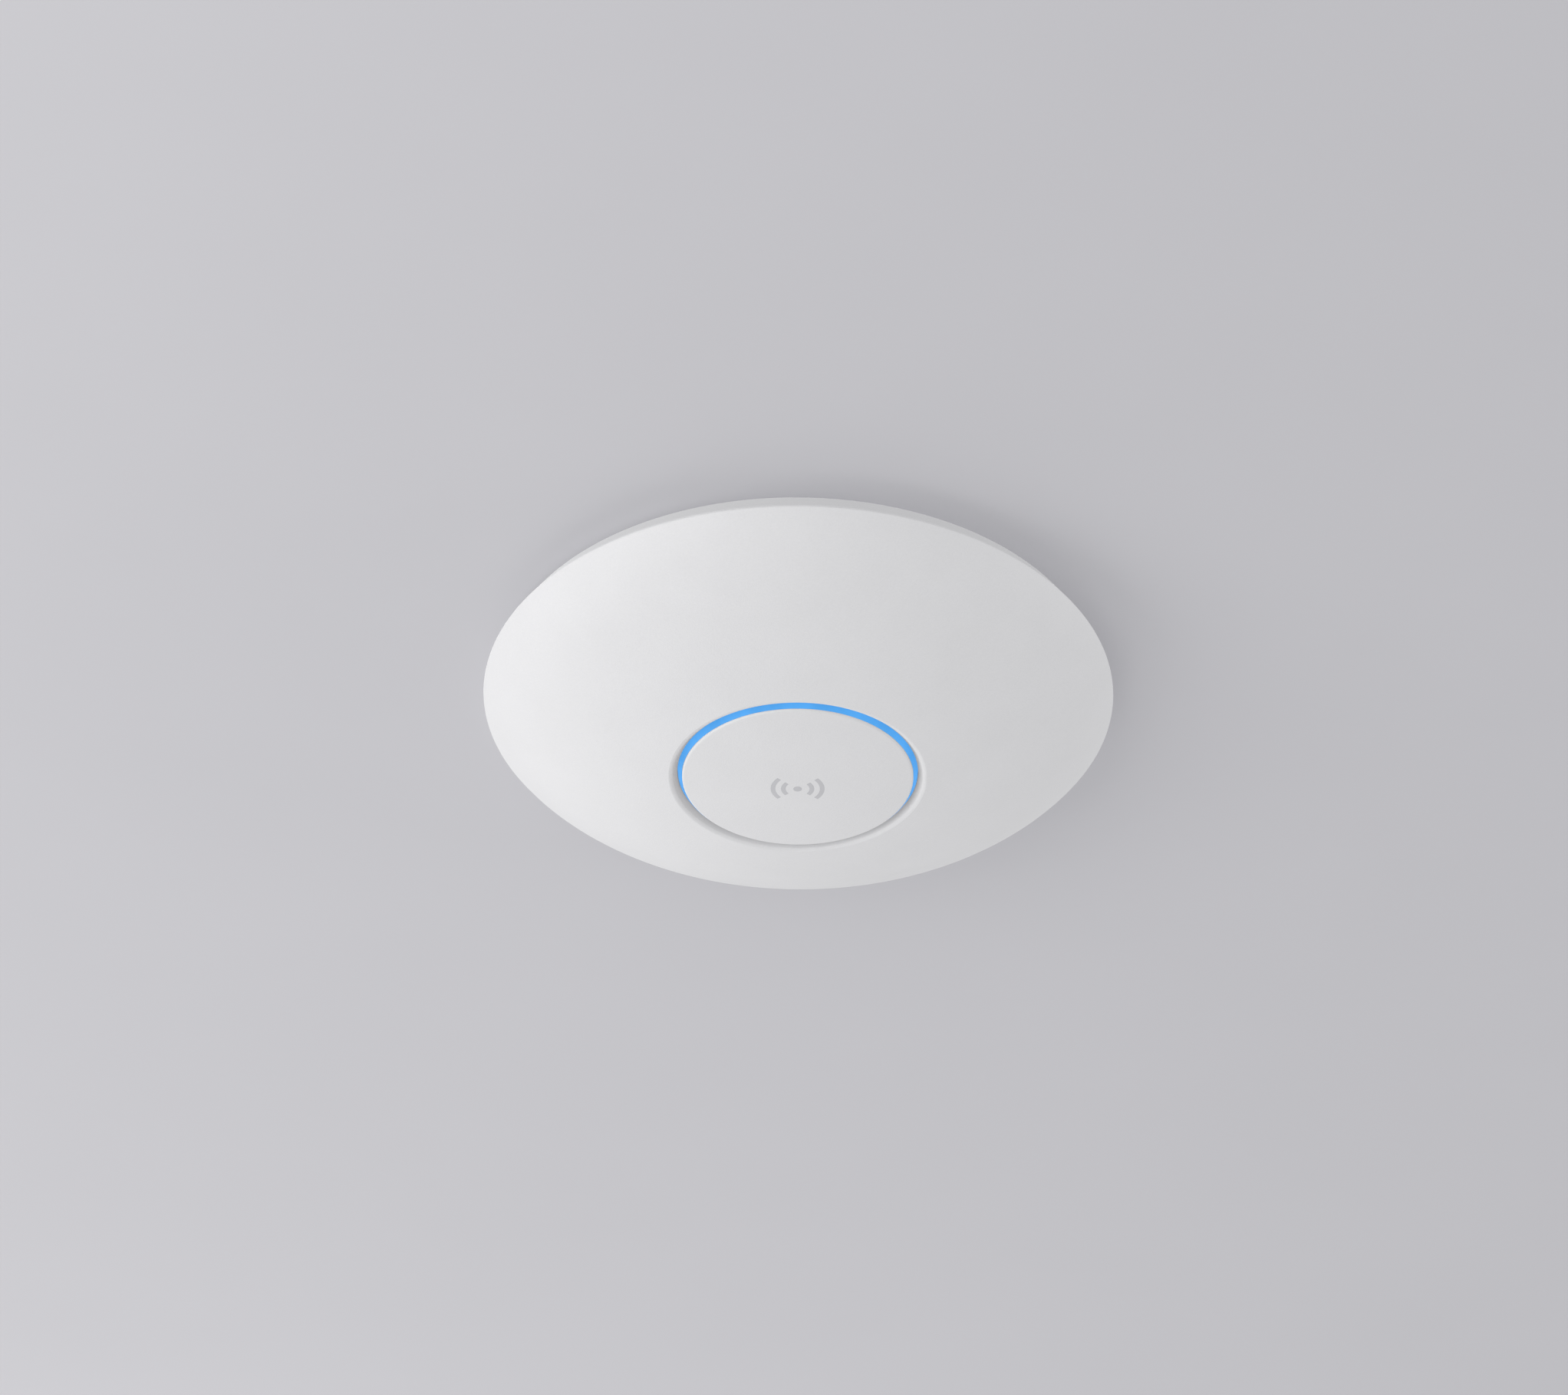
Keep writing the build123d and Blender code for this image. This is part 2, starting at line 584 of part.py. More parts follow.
def heat_sink():
    sink = rod(0, 0, SINK_RADIUS, SINK_Z)
    for x in FIN_X:
        reach = sqrt((SINK_RADIUS - 1.5) ** 2 - x ** 2)
        for side in (-1, 1):
            sink += block((side * x - FIN_HALF, side * x + FIN_HALF), (-reach, reach),
                          (SINK_Z[1] - 0.2, FIN_TOP_Z))
    around_bay = BAY_X + BAY_WALL + SINK_GAP
    past_jack = JACK_FRONT_Y + JACK_LENGTH + 2.1
    sink -= block((-around_bay, around_bay), (BAY_Y[0] - BAY_WALL - SINK_GAP, past_jack), (-DEEP, DEEP))
    x, y = RESET_XY
    sink -= block((x - 5, x + 3.6), (y - 4, y + 4), (-DEEP, DEEP))
    for x, y in BOARD_SCREWS:
        sink -= hole(x, y, 3.6)
    return sink


# ---- network socket --------------------------------------------------------------------------------

def jack_box(inset, y_start, y_end):
    half = JACK_WIDTH / 2 - inset
    return block((-half, half), (y_start, y_end), (BOARD_TOP_Z, BOARD_TOP_Z + JACK_HEIGHT - inset))


def jack_mouth(margin, y_start, y_end):
    """The plug's space with the channel for its tab above it."""
    low, high = PLUG_Z
    plug_half = PLUG_HALF + margin
    tab_half = TAB_CHANNEL_HALF + margin
    plug = block((-plug_half, plug_half), (y_start, y_end), (low - margin, high + margin))
    channel = block((-tab_half, tab_half), (y_start, y_end), (high - 0.2, TAB_CHANNEL_TOP_Z + margin))
    return plug + channel


def jack_shell():
    front = JACK_FRONT_Y
    back = front + JACK_LENGTH
    shell = jack_box(0, front, back) - jack_box(JACK_SKIN, front + JACK_SKIN, back - JACK_SKIN)
    return shell - jack_mouth(JACK_SKIN, front - 1, front + 1)


def jack_insert():
    gap = JACK_SKIN + RUNNING_CLEARANCE
    insert = jack_box(gap, JACK_FRONT_Y + gap, JACK_FRONT_Y + JACK_LENGTH - gap)
    return insert - jack_mouth(0.0, JACK_FRONT_Y - 1, JACK_FRONT_Y + PLUG_DEPTH)


def jack_contacts():
    """Eight sprung wires that slope up from the floor of the plug's space."""
    floor = PLUG_Z[0]
    front, back = JACK_FRONT_Y + 1.1, JACK_FRONT_Y + 11.1
    wire = 0.35
    rise = 1.5
    outline = [(front, floor), (back, floor + rise), (back, floor + rise + wire), (front, floor + wire)]
    wires = []
    for index in range(8):
        x = (index - 3.5) * CONTACT_PITCH
        wires.append(side_prism(outline, (x - CONTACT_HALF, x + CONTACT_HALF)))
    return wires


def jack_gasket():
    half = JACK_WIDTH / 2 + RUNNING_CLEARANCE
    jack_top = BOARD_TOP_Z + JACK_HEIGHT + RUNNING_CLEARANCE
    frame = block((-10, 10), (JACK_FRONT_Y + 0.2, BAY_Y[1]), (BAY_FLOOR_Z + 0.1, RECESS_Z - 0.3))
    return frame - block((-half, half), (0, 20), (-DEEP, jack_top))


# ---- power parts -----------------------------------------------------------------------------------

def network_transformer():
    body = rounded_block((9.4, 17.4), (10.0, 25.0), (BOARD_TOP_Z, BOARD_TOP_Z + 5.6), 0.5)
    return chamfer(body.faces().sort_by(Axis.Z)[-1].edges(), 0.4)


def bulk_capacitors():
    """Round cans on square feet, each with the groove that crimps its seal."""
    radius = 3.2
    x = -13.4
    foot_top = BOARD_TOP_Z + 0.6
    can_top = BOARD_TOP_Z + 8.2
    made = []
    for y in (13.2, 21.4):
        can = rod(x, y, radius, (foot_top, can_top))
        can = fillet(circles_at(can, radius, can_top), 0.5)
        can -= tube(radius - 0.35, radius + 0.2, (foot_top + 1.0, foot_top + 1.5), x, y)
        foot = grown([(x, x), (y, y)], radius + 0.1)
        made.append(can + block(*foot, (BOARD_TOP_Z, foot_top)))
    return made


def power_inductors():
    height = 3.6
    made = []
    for x, y in ((5.0, -13.5), (5.0, 13.5), (-8.0, 15.5)):
        body = block(*grown([(x, x), (y, y)], 3.5), (BOARD_UNDER_Z - height, BOARD_UNDER_Z))
        body = chamfer(body.edges().filter_by(Axis.Z), 0.9)
        made.append(body - tube(2.3, 2.7, (-DEEP, BOARD_UNDER_Z - height + 0.2), x, y))
    return made


def poe_transformer():
    """Two-part ferrite core round a wound bobbin, as one potted piece."""
    core_x = (-15, -1)
    winding_x = (-12.2, -3.8)
    core_z = (BOARD_UNDER_Z - 6.2, BOARD_UNDER_Z - 0.8)
    winding_z = (BOARD_UNDER_Z - 4.9, BOARD_UNDER_Z - 2.1)
    core = block(core_x, (-6, 6), core_z) - block(winding_x, (-7, 7), winding_z)
    winding = rounded_block(winding_x, (-8.2, 8.2), winding_z, 1.0)
    feet = block((-13, -3), (-7.4, 7.4), (core_z[1], BOARD_UNDER_Z))
    return core + winding + feet


# ---- reset button ----------------------------------------------------------------------------------

def reset_switch():
    x, y = RESET_XY
    body = block(*grown([(x, x), (y, y)], 3.0), (BOARD_TOP_Z, STEM_TOP_Z - 0.8))
    body = chamfer(body.faces().sort_by(Axis.Z)[-1].edges(), 0.3)
    return body - hole(x, y, STEM_RADIUS + RUNNING_CLEARANCE, STEM_TOP_Z - 1.7)


def switch_stem():
    return rod(*RESET_XY, STEM_RADIUS, (STEM_TOP_Z - 1.2, STEM_TOP_Z))


def reset_button():
    plunger = rod(*RESET_XY, PLUNGER_RADIUS, (STEM_TOP_Z, PLUNGER_TOP_Z))
    return plunger + rod(*RESET_XY, 1.9, (STEM_TOP_Z, STEM_TOP_Z + 0.8))


# ---- aerials ---------------------------------------------------------------------------------------

def aerial(length):
    """Stamped inverted-F strip that stands on the board's underside, facing outwards at +X."""
    inner, outer = AERIAL_X
    half = length / 2
    low = BOARD_UNDER_Z - AERIAL_HEIGHT
    face = (outer - SHEET, outer)
    strip = block(face, (-half, half), (low, low + 1.6))
    top = block(AERIAL_X, (-half, half - 6), (low, low + SHEET))
    feed = block(face, (half - 4.2, half - 3.0), (low, BOARD_UNDER_Z))
    ground = block(face, (half - 1.2, half), (low, BOARD_UNDER_Z))
    tail = block((inner, inner + SHEET), (-half, -half + 1.5), (low, BOARD_UNDER_Z))
    return strip + top + feed + ground + tail


# ---- light board -----------------------------------------------------------------------------------

def led_board():
    board = tube(*LIGHT_BOARD_RADII, LIGHT_BOARD_Z)
    ear = block((LIGHT_BOARD_RADII[0] + 2, LIGHT_SCREW_CIRCLE), (-3, 3), LIGHT_BOARD_Z)
    ear += rod(LIGHT_SCREW_CIRCLE, 0, 3.0, LIGHT_BOARD_Z)
    for part in around(ear, LIGHT_SCREW_ANGLES):
        board += part
    for angle in LIGHT_SCREW_ANGLES:
        board -= hole(*polar(LIGHT_SCREW_CIRCLE, angle), 1.15)
    return board


def led_board_screws():
    screw = Pos(LIGHT_SCREW_CIRCLE, 0, LIGHT_BOARD_Z[1]) * pan_screw(1.9, 1.2, 1.0, 3.4)
    return around(screw, LIGHT_SCREW_ANGLES)


def status_leds():
    """Square lamps under the light board, each with a round window."""
    low = LIGHT_BOARD_Z[0] - 0.8
    lamp = block(*grown([(LAMP_CIRCLE, LAMP_CIRCLE), (0, 0)], 1.0), (low, LIGHT_BOARD_Z[0]))
    lamp -= rod(LAMP_CIRCLE, 0, 0.75, (low - 1, low + 0.15))
    step = 360 / LAMP_COUNT
    return around(lamp, [step * (index + 0.5) for index in range(LAMP_COUNT)])


def flat_socket(x_range, mouth_x, z_range):
    """Flat-cable socket with a slit that opens towards -X."""
    middle = (z_range[0] + z_range[1]) / 2
    body = block(x_range, (-4.5, 4.5), z_range)
    return body - block((x_range[0] - 1, mouth_x), (-3.1, 3.1), (middle - 0.15, middle + 0.15))


def board_connectors():
    """Flat-cable sockets: one under the main board, one on the light board."""
    upper = flat_socket((17.0, 21.5), 18.5, (BOARD_UNDER_Z - 1.5, BOARD_UNDER_Z))
    lower = flat_socket((27.0, 31.5), 28.5, (LIGHT_BOARD_Z[1], LIGHT_BOARD_Z[1] + 1.5))
    return [upper, lower]


def led_cable():
    """Flat cable that leaves both sockets inwards and turns back on itself between them."""
    high = BOARD_UNDER_Z - 0.75
    low = LIGHT_BOARD_Z[1] + 0.75
    half = 0.12  # half of the cable's thickness
    bend = (high - low) / 2
    bend_x = 15.0
    cable = block((bend_x, 18.5), (-3, 3), (high - half, high + half))
    cable += block((bend_x, 28.5), (-3, 3), (low - half, low + half))
    turn = Rot(90, 0, 0) * (Cylinder(bend + half, 6) - Cylinder(bend - half, 8))
    turn = turn & block((-20, 0), (-10, 10), (-10, 10))
    return cable + Pos(bend_x, 0, (high + low) / 2) * turn


def rating_label():
    return rounded_block((-38, -20), (-16, -5), (RECESS_Z, RECESS_Z + 0.15), 1.5)


def main():
    save("mounting_bracket", mounting_bracket())
    save("latch_pin", latch_pin())
    save("latch_arm", latch_arm())
    save("back_cover", back_cover())
    save("cover_screws", *cover_screws())
    save("rating_label", rating_label())
    save("front_cover", front_cover())
    save("light_ring", light_ring())
    cap, emblem = cap_and_emblem()
    save("centre_cap", cap)
    save("cap_emblem", *emblem)
    save("main_board", main_board())
    save("board_screws", *board_screws())
    save("processor", *chips([(37.0, 8.0)], 14.0, 14.0, 1.0))
    save("radio_chips", *chips([(-28.0, 9.0), (-40.0, 9.0)], 9.0, 9.0, 0.9))
    save("memory_chips", *chips([(-28.0, -8.0), (-40.0, -8.0)], 8.0, 12.0, 0.9))
    save("crystals", *chips([(34.0, -4.0), (40.0, -4.0)], 3.2, 2.5, 0.7))
    save("ceramic_capacitors", *ceramic_capacitors())
    save("shield_frames", shield_frame(*RIGHT_SHIELD), shield_frame(*LEFT_SHIELD))
    save("shield_lids", shield_lid(*RIGHT_SHIELD), shield_lid(*LEFT_SHIELD))
    save("thermal_pads", *thermal_pads())
    save("heat_sink", heat_sink())
    save("jack_shell", jack_shell())
    save("jack_insert", jack_insert())
    save("jack_contacts", *jack_contacts())
    save("jack_gasket", jack_gasket())
    save("network_transformer", network_transformer())
    save("bulk_capacitors", *bulk_capacitors())
    save("power_inductors", *power_inductors())
    save("poe_transformer", poe_transformer())
    save("reset_switch", reset_switch())
    save("switch_stem", switch_stem())
    save("reset_button", reset_button())
    save("antennas_low_band", *around(aerial(24.0), (0, 180)))
    save("antennas_high_band", *around(aerial(16.0), (90, 270)))
    save("led_board", led_board())
    save("led_board_screws", *led_board_screws())
    save("status_leds", *status_leds())
    save("board_connectors", *board_connectors())
    save("led_cable", led_cable())


main()
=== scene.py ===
import json
from math import cos, radians, sin

import bpy
from mathutils import Matrix, Vector


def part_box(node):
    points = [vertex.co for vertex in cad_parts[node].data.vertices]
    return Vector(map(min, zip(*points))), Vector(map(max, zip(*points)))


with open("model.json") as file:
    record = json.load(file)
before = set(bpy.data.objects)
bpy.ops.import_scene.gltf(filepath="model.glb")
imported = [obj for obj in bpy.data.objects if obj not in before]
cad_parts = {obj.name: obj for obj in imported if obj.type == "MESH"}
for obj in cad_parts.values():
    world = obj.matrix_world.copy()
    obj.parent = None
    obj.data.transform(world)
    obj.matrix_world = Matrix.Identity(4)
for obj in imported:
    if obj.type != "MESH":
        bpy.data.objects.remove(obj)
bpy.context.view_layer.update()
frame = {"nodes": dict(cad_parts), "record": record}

MM = 0.001


# ---- node helpers ----------------------------------------------------------------------------------

class Nodes:
    """A material's node tree, with its shader and the object's own coordinates."""

    def __init__(self, name):
        self.material = bpy.data.materials.new(name)
        self.material.use_nodes = True
        self.tree = self.material.node_tree
        self.shader = self.tree.nodes["Principled BSDF"]
        self.place = self.tree.nodes.new("ShaderNodeTexCoord").outputs["Object"]

    def link(self, source, socket):
        self.tree.links.new(source, socket)

    def add(self, kind, **settings):
        node = self.tree.nodes.new(kind)
        for key, value in settings.items():
            setattr(node, key, value)
        return node

    def set(self, **values):
        """Plain numbers on the shader's own sockets."""
        for key, value in values.items():
            self.shader.inputs[key.replace("_", " ")].default_value = value

    def stretched(self, scale):
        """Object coordinates scaled by a factor for each axis."""
        mapping = self.add("ShaderNodeMapping")
        mapping.inputs["Scale"].default_value = scale
        self.link(self.place, mapping.inputs["Vector"])
        return mapping.outputs["Vector"]

    def noise(self, size_mm, detail=2.0, rough=0.5, source=None):
        node = self.add("ShaderNodeTexNoise")
        node.inputs["Scale"].default_value = 1.0 / (size_mm * MM)
        node.inputs["Detail"].default_value = detail
        node.inputs["Roughness"].default_value = rough
        self.link(source or self.place, node.inputs["Vector"])
        return node.outputs["Fac"]

    def cells(self, size_mm):
        node = self.add("ShaderNodeTexVoronoi", feature="F1")
        node.inputs["Scale"].default_value = 1.0 / (size_mm * MM)
        self.link(self.place, node.inputs["Vector"])
        return node.outputs["Distance"]

    def spread(self, value, low, high, from_low=0.3, from_high=0.7):
        """Maps a texture's middle range onto low..high."""
        node = self.add("ShaderNodeMapRange")
        node.inputs["From Min"].default_value = from_low
        node.inputs["From Max"].default_value = from_high
        node.inputs["To Min"].default_value = low
        node.inputs["To Max"].default_value = high
        self.link(value, node.inputs["Value"])
        return node.outputs["Result"]

    def blend(self, factor, first, second):
        """Colour that goes from first to second with the factor; either may be a socket."""
        node = self.add("ShaderNodeMix", data_type="RGBA")
        self.link(factor, node.inputs["Factor"])
        for socket, colour in ((node.inputs["A"], first), (node.inputs["B"], second)):
            if isinstance(colour, (tuple, list)):
                socket.default_value = (*colour[:3], 1.0)
            else:
                self.link(colour, socket)
        return next(s for s in node.outputs if s.enabled and s.type == "RGBA")

    def math(self, operation, first, second=0.0):
        node = self.add("ShaderNodeMath", operation=operation)
        for socket, value in zip(node.inputs, (first, second)):
            if isinstance(value, (int, float)):
                socket.default_value = value
            else:
                self.link(value, socket)
        return node.outputs[0]

    def bump(self, height, depth_mm, strength, over=None):
        """Relief from a height, laid over an earlier relief where one is given."""
        node = self.add("ShaderNodeBump")
        node.inputs["Strength"].default_value = strength
        node.inputs["Distance"].default_value = depth_mm * MM
        self.link(height, node.inputs["Height"])
        if over:
            self.link(over, node.inputs["Normal"])
        self.link(node.outputs["Normal"], self.shader.inputs["Normal"])
        return node.outputs["Normal"]


def tint(colour, factor):
    return tuple(min(1.0, channel * factor) for channel in colour)


# ---- materials -------------------------------------------------------------------------------------

MOTTLE = 0.025  # how far a moulded face's colour strays to each side


def moulded_plastic(name, colour, roughness=0.5, grain_mm=0.45, depth_mm=0.02):
    """Spark-eroded moulding texture: fine pits over a barely uneven colour and gloss."""
    m = Nodes(name)
    pits = m.noise(grain_mm, 2.0, 0.6)
    shade = m.math("ADD", m.math("MULTIPLY", m.noise(14.0, 3.0), 0.4), m.math("MULTIPLY", pits, 0.6))
    mottled = m.blend(m.spread(shade, 0, 1), tint(colour, 1 - MOTTLE), tint(colour, 1 + MOTTLE))
    m.link(mottled, m.shader.inputs["Base Color"])
    m.link(m.spread(pits, roughness - 0.05, roughness + 0.07), m.shader.inputs["Roughness"])
    broad = m.bump(m.noise(grain_mm * 3, 2.0), depth_mm * 4, 0.5)
    m.bump(pits, depth_mm * 2.5, 0.8, over=broad)
    m.set(IOR=1.49, Specular_IOR_Level=0.3)
    return m.material


def smooth_plastic(name, colour, roughness=0.28):
    """Glossy moulding with faint flow marks."""
    m = Nodes(name)
    flow = m.noise(6.0, 2.0)
    m.link(m.blend(m.spread(flow, 0, 1), tint(colour, 0.96), tint(colour, 1.04)),
           m.shader.inputs["Base Color"])
    m.link(m.spread(m.noise(1.2, 3.0), roughness - 0.06, roughness + 0.1), m.shader.inputs["Roughness"])
    m.bump(m.noise(1.6, 2.0), 0.01, 0.5)
    m.set(IOR=1.5)
    return m.material


def plated_metal(name, colour, roughness=0.3, grain=(1.0, 1.0, 12.0), streak_mm=1.2):
    """Plated or bright metal with drawn or turned streaks along one direction."""
    m = Nodes(name)
    streaks = m.noise(streak_mm, 3.0, 0.6, m.stretched(grain))
    stains = m.noise(3.0, 2.0)
    base = m.blend(m.spread(streaks, 0, 1), tint(colour, 0.86), tint(colour, 1.06))
    m.link(m.blend(m.spread(stains, 0, 0.35), base, tint(colour, 0.8)), m.shader.inputs["Base Color"])
    m.link(m.spread(streaks, roughness - 0.08, roughness + 0.14), m.shader.inputs["Roughness"])
    m.bump(streaks, 0.008, 0.6)
    m.set(Metallic=1.0)
    return m.material


def cast_metal(name, colour):
    """Cast face with a pebbled grain."""
    m = Nodes(name)
    grains = m.cells(0.5)
    cloud = m.noise(5.0, 3.0)
    m.link(m.blend(m.spread(cloud, 0, 1), tint(colour, 0.85), tint(colour, 1.05)),
           m.shader.inputs["Base Color"])
    m.link(m.spread(grains, 0.42, 0.62, 0.0, 0.8), m.shader.inputs["Roughness"])
    m.bump(grains, 0.03, 0.5)
    m.set(Metallic=1.0)
    return m.material


def epoxy_package(name, colour=(0.03, 0.03, 0.034)):
    """Moulded chip body, full of fine filler."""
    m = Nodes(name)
    grit = m.noise(0.12, 2.0, 0.7)
    m.link(m.blend(m.spread(grit, 0, 1), tint(colour, 0.8), tint(colour, 1.6)),
           m.shader.inputs["Base Color"])
    m.link(m.spread(m.noise(1.5), 0.5, 0.66), m.shader.inputs["Roughness"])
    m.bump(grit, 0.01, 0.5)
    return m.material


TRACK_PITCH_MM = 2.4


def circuit_board(name, resist, copper):
    """Solder resist over a grid of tracks, with a sprinkle of plated vias."""
    m = Nodes(name)
    grid = m.add("ShaderNodeTexBrick", offset=0.37, squash=0.6, squash_frequency=3)
    grid.inputs["Scale"].default_value = 1.0 / (TRACK_PITCH_MM * MM)
    grid.inputs["Mortar Size"].default_value = 0.12
    grid.inputs["Mortar Smooth"].default_value = 0.2
    m.link(m.place, grid.inputs["Vector"])
    tracks = grid.outputs["Fac"]
    vias = m.spread(m.cells(2.0), 1.0, 0.0, 0.10, 0.14)
    layer = m.blend(m.math("MULTIPLY", tracks, 0.55), resist, tint(resist, 1.9))
    m.link(m.blend(vias, layer, copper), m.shader.inputs["Base Color"])
    m.link(m.spread(tracks, 0.34, 0.26, 0.0, 1.0), m.shader.inputs["Roughness"])
    m.bump(tracks, 0.03, 0.6)
    m.set(Coat_Weight=0.3)
    return m.material


def ceramic(name, colour):
    """Fired body with specks."""
    m = Nodes(name)
    specks = m.noise(0.3, 3.0, 0.7)
    m.link(m.blend(m.spread(specks, 0, 1), tint(colour, 0.7), tint(colour, 1.25)),
           m.shader.inputs["Base Color"])
    m.link(m.spread(specks, 0.45, 0.6), m.shader.inputs["Roughness"])
    m.bump(specks, 0.015, 0.5)
    return m.material


def foam(name, colour, cell_mm=0.5):
    """Soft pad with open cells."""
    m = Nodes(name)
    pores = m.cells(cell_mm)
    # painted shade: the colour darkens towards each cell's middle, where the bump sinks into a pore
    m.link(m.blend(m.spread(pores, 0, 1, 0.0, 0.7), tint(colour, 0.5), tint(colour, 1.5)),
           m.shader.inputs["Base Color"])
    m.link(m.spread(pores, 0.9, 0.75, 0.0, 0.7), m.shader.inputs["Roughness"])
    m.bump(pores, 0.12, 0.8)
    return m.material


RULE_SCALE = 150.0  # closeness of the label's ruled lines


def label_paper(name):
    """Silver-white label stock with fibres and faint ruled lines."""
    m = Nodes(name)
    fibres = m.noise(0.8, 3.0, 0.6, m.stretched((1.0, 4.0, 1.0)))
    paper = m.blend(m.spread(fibres, 0, 1), (0.76, 0.76, 0.76), (0.84, 0.84, 0.84))
    rules = m.add("ShaderNodeTexWave", wave_type="BANDS", bands_direction="Y", wave_profile="SIN")
    rules.inputs["Scale"].default_value = RULE_SCALE
    m.link(m.place, rules.inputs["Vector"])
    lines = m.spread(rules.outputs["Fac"], 0.0, 0.5, 0.93, 0.98)
    m.link(m.blend(lines, paper, (0.45, 0.45, 0.46)), m.shader.inputs["Base Color"])
    m.link(m.spread(fibres, 0.4, 0.55), m.shader.inputs["Roughness"])
    m.bump(fibres, 0.01, 0.4)
    return m.material


RING_BLUE = (0.085, 0.395, 0.913)
RING_GLOW = 0.86
LAMP_COUNT = 12


def glowing_ring(name):
    """Translucent plastic lit from behind, a touch brighter over each of its lamps."""
    m = Nodes(name)
    parts = m.add("ShaderNodeSeparateXYZ")
    m.link(m.place, parts.inputs["Vector"])
    angle = m.math("ARCTAN2", parts.outputs["Y"], parts.outputs["X"])
    ripple = m.math("COSINE", m.math("MULTIPLY", angle, float(LAMP_COUNT)))
    haze = m.math("ADD", m.math("MULTIPLY", ripple, 0.25), m.noise(3.0, 2.0))
    glow = m.blend(m.spread(haze, 0, 1, 0.1, 0.9), tint(RING_BLUE, 0.95), tint(RING_BLUE, 1.05))
    m.link(glow, m.shader.inputs["Emission Color"])
    m.link(m.blend(m.spread(haze, 0, 1), (0.02, 0.06, 0.12), (0.03, 0.08, 0.15)),
           m.shader.inputs["Base Color"])
    m.link(m.spread(m.noise(0.5), 0.42, 0.5), m.shader.inputs["Roughness"])
    m.set(Emission_Strength=RING_GLOW, Specular_IOR_Level=0.1)
    return m.material


WHITE = (0.803, 0.803, 0.813)

FINISHES = {
    "white_shell": moulded_plastic("white_shell", WHITE, 0.52),
    "rear_shell": moulded_plastic("rear_shell", (0.76, 0.76, 0.77), 0.55),
    "bracket_plastic": moulded_plastic("bracket_plastic", (0.70, 0.70, 0.71), 0.58, 0.6, 0.03),
    "lever_plastic": smooth_plastic("lever_plastic", (0.42, 0.44, 0.47)),
    "pin_steel": plated_metal("pin_steel", (0.62, 0.62, 0.63)),
    "screw_steel": plated_metal("screw_steel", (0.55, 0.55, 0.57), 0.25),
    "light_guide": glowing_ring("light_guide"),
    "emblem_grey": moulded_plastic("emblem_grey", (0.60, 0.60, 0.62), 0.5, 0.3, 0.01),
    "label_paper": label_paper("label_paper"),
    "cast_aluminium": cast_metal("cast_aluminium", (0.62, 0.63, 0.65)),
    "thermal_silicone": foam("thermal_silicone", (0.30, 0.45, 0.55), 0.25),
    "circuit_board": circuit_board("circuit_board", (0.015, 0.10, 0.045), (0.75, 0.6, 0.3)),
    "light_board": circuit_board("light_board", (0.62, 0.62, 0.60), (0.75, 0.7, 0.55)),
    "chip_black": epoxy_package("chip_black"),
    "crystal_can": plated_metal("crystal_can", (0.7, 0.7, 0.68), 0.2, (1, 8, 1)),
    "ceramic_chip": ceramic("ceramic_chip", (0.40, 0.30, 0.20)),
    "shield_tin": plated_metal("shield_tin", (0.68, 0.68, 0.67), 0.25, (1, 10, 1)),
    "jack_metal": plated_metal("jack_metal", (0.66, 0.66, 0.66), 0.22, (1, 10, 1)),
    "jack_black": smooth_plastic("jack_black", (0.03, 0.03, 0.03), 0.35),
    "contact_gold": plated_metal("contact_gold", (0.95, 0.72, 0.30), 0.18, (8, 1, 1), 0.6),
    "foam_black": foam("foam_black", (0.03, 0.03, 0.03)),
    "capacitor_can": plated_metal("capacitor_can", (0.72, 0.72, 0.74), 0.2, (1, 1, 8)),
    "ferrite": ceramic("ferrite", (0.07, 0.07, 0.075)),
    "switch_body": epoxy_package("switch_body", (0.04, 0.04, 0.04)),
    "button_plastic": smooth_plastic("button_plastic", (0.10, 0.10, 0.10)),
    "aerial_metal": plated_metal("aerial_metal", (0.78, 0.72, 0.55), 0.25, (1, 1, 6)),
    "led_package": smooth_plastic("led_package", (0.8, 0.8, 0.72), 0.3),
    "connector_plastic": smooth_plastic("connector_plastic", (0.78, 0.74, 0.62), 0.4),
    "flat_cable": smooth_plastic("flat_cable", (0.7, 0.72, 0.76), 0.3),
}


def dress_cad_nodes():
    """Gives every CAD node its procedural finish, in place of the plain packed one."""
    slot_of = {row["node"]: row["material_slot"] for row in frame["record"]["subparts"]}
    for name, node in frame["nodes"].items():
        for index in range(len(node.material_slots)):
            node.material_slots[index].link = "OBJECT"
            node.material_slots[index].material = FINISHES[slot_of[name]]
    # the lamps are dim: they colour the ring, but not the white plastic beside it
    frame["nodes"]["light_ring"].visible_diffuse = False
    frame["nodes"]["light_ring"].visible_glossy = False


# ---- stage, lights and camera ----------------------------------------------------------------------

CEILING_COLOUR = (0.642, 0.638, 0.665)
CEILING_HALF = 3.0  # metres from the middle to an edge


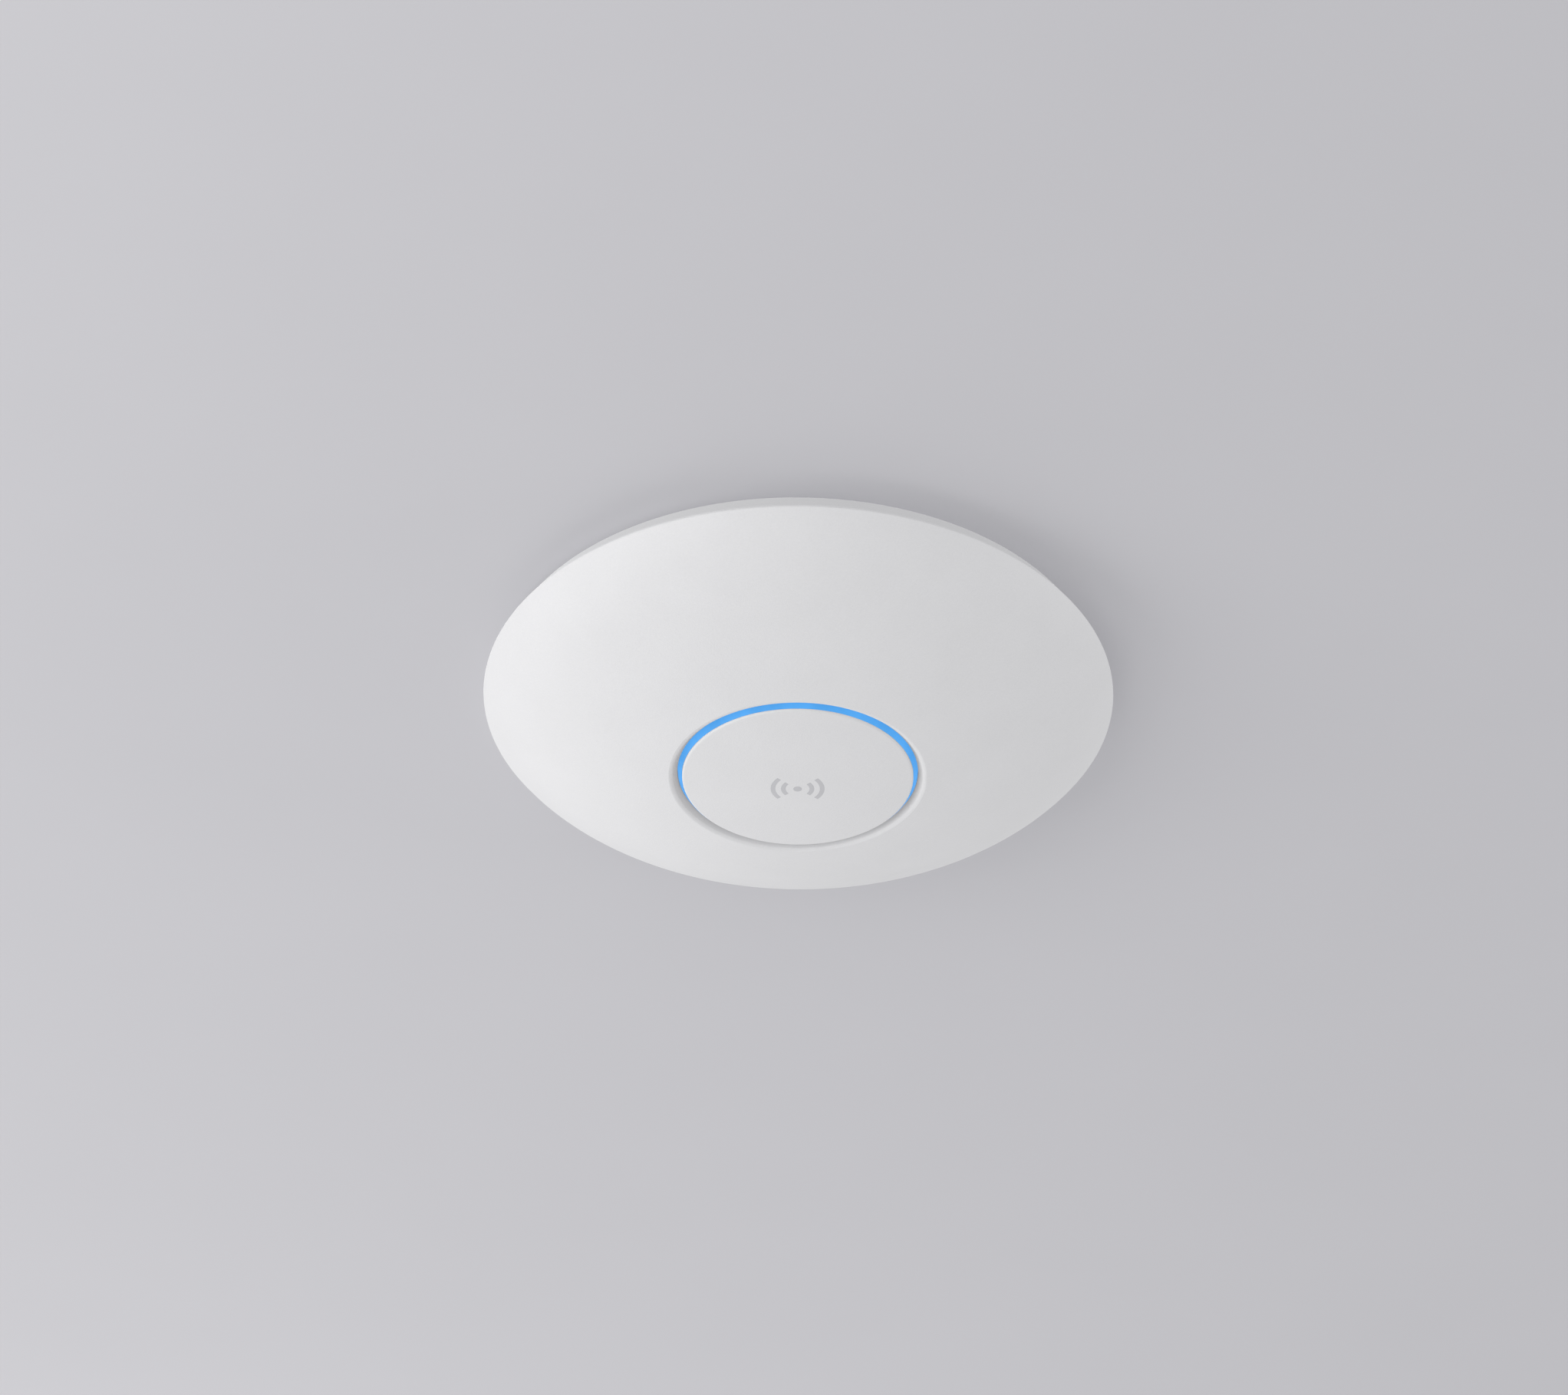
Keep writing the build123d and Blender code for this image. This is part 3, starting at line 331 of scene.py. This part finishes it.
def painted_ceiling():
    """The plane that the object hangs from, clear from above so that the back can be looked at."""
    m = Nodes("ceiling_paint")
    soft = m.noise(60.0, 3.0)
    m.link(m.blend(m.spread(soft, 0, 1), tint(CEILING_COLOUR, 0.995), tint(CEILING_COLOUR, 1.005)),
           m.shader.inputs["Base Color"])
    m.set(Roughness=0.9, Specular_IOR_Level=0.1)
    m.bump(m.noise(1.5, 2.0), 0.02, 0.3)
    clear = m.add("ShaderNodeBsdfTransparent")
    side = m.add("ShaderNodeNewGeometry")
    mix = m.add("ShaderNodeMixShader")
    m.link(side.outputs["Backfacing"], mix.inputs[0])
    m.link(m.shader.outputs[0], mix.inputs[1])
    m.link(clear.outputs[0], mix.inputs[2])
    m.link(mix.outputs[0], m.tree.nodes["Material Output"].inputs["Surface"])
    mesh = bpy.data.meshes.new("ceiling")
    half = CEILING_HALF
    corners = [(-half, -half, 0), (-half, half, 0), (half, half, 0), (half, -half, 0)]
    mesh.from_pydata(corners, [], [(0, 1, 2, 3)])
    mesh.materials.append(m.material)
    ceiling = bpy.data.objects.new("ceiling", mesh)
    bpy.context.scene.collection.objects.link(ceiling)
    ceiling.visible_shadow = False
    ceiling.visible_diffuse = False
    ceiling.visible_glossy = False


def soft_light(name, place, target, size, watts, colour=(1, 1, 1)):
    data = bpy.data.lights.new(name, "AREA")
    data.shape = "DISK"
    data.size = size
    data.energy = watts
    data.color = colour
    light = bpy.data.objects.new(name, data)
    light.location = place
    light.rotation_mode = "QUATERNION"
    light.rotation_quaternion = (Vector(target) - Vector(place)).to_track_quat("-Z", "Y")
    bpy.context.scene.collection.objects.link(light)


def pale_world(colour, strength):
    world = bpy.data.worlds.new("pale_room")
    world.use_nodes = True
    background = world.node_tree.nodes["Background"]
    background.inputs["Color"].default_value = (*colour, 1)
    background.inputs["Strength"].default_value = strength
    bpy.context.scene.world = world


# The camera stands in front of the object and below it, and looks up.
RIM_DROP = 6.9 * MM  # ceiling to the dome's widest circle
CAMERA_RADII = 16.0  # distance in radii of the widest circle
CAMERA_ELEVATION = -36.44
CAMERA_ROLL = 0.43
CAMERA_YAW = 0.1625  # degrees between the lens axis and the middle of the widest circle
CAMERA_PITCH = 0.0507
LENS = 115.5  # millimetres, on a sensor 36 mm wide
SENSOR = 36.0
CAMERA_CLIP = (0.05, 20.0)  # metres, nearest and farthest


def photo_camera():
    low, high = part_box("front_cover")
    radius = (high.x - low.x) / 2
    target = Vector((0, 0, -RIM_DROP))
    elevation = radians(CAMERA_ELEVATION)
    back = Vector((0, -cos(elevation), sin(elevation)))
    data = bpy.data.cameras.new("photo_camera")
    data.sensor_width = SENSOR
    data.lens = LENS
    data.clip_start, data.clip_end = CAMERA_CLIP
    camera = bpy.data.objects.new("photo_camera", data)
    bpy.context.scene.collection.objects.link(camera)
    camera.rotation_mode = "QUATERNION"
    facing = (-back).to_track_quat("-Z", "Y").to_matrix()
    yaw = Matrix.Rotation(radians(CAMERA_YAW), 3, "Y")
    pitch = Matrix.Rotation(radians(CAMERA_PITCH), 3, "X")
    roll = Matrix.Rotation(radians(CAMERA_ROLL), 3, "Z")
    camera.location = target + back * radius * CAMERA_RADII
    camera.rotation_quaternion = (facing @ roll @ yaw @ pitch).to_quaternion()
    bpy.context.scene.camera = camera


# Soft lamps round the object: compass angle from +X, degrees below the ceiling, width in metres, watts
LAMP_DISTANCE = 1.0
LAMP_TARGET = (0, 0, -0.01)  # a point inside the dome
STUDIO_LAMPS = {
    "key_left": (180, 26, 0.6, 1.6),
    "key_near": (205, 15, 0.5, 1.6),
    "side_near": (250, 18, 0.6, 1.8),
    "side_far": (115, 20, 0.7, 1.6),
    "fill_far": (90, 50, 1.0, 0.7),
    "low_right": (0, 5, 0.4, 1.5),
}
ROOM_COLOUR = (0.985, 0.985, 1.0)
ROOM_STRENGTH = 0.592
LAMP_COLOUR = (1.0, 0.995, 0.985)
# Above the ceiling and on the far side, where it rakes over the back only
BACK_LAMP_PLACE = (-0.6, 1.0, 0.9)
BACK_LAMP_WIDTH = 0.5
BACK_LAMP_WATTS = 5.0


def lights_and_view():
    pale_world(ROOM_COLOUR, ROOM_STRENGTH)
    for name, (compass, drop, width, watts) in STUDIO_LAMPS.items():
        reach = LAMP_DISTANCE * cos(radians(drop))
        below = LAMP_DISTANCE * sin(radians(drop))
        place = (reach * cos(radians(compass)), reach * sin(radians(compass)), -below)
        soft_light(name, place, LAMP_TARGET, width, watts, LAMP_COLOUR)
    soft_light("back_soft", BACK_LAMP_PLACE, (0, 0, 0), BACK_LAMP_WIDTH, BACK_LAMP_WATTS)
    view = bpy.context.scene.view_settings
    view.view_transform = "Standard"
    view.look = "None"


dress_cad_nodes()
painted_ceiling()
lights_and_view()
photo_camera()
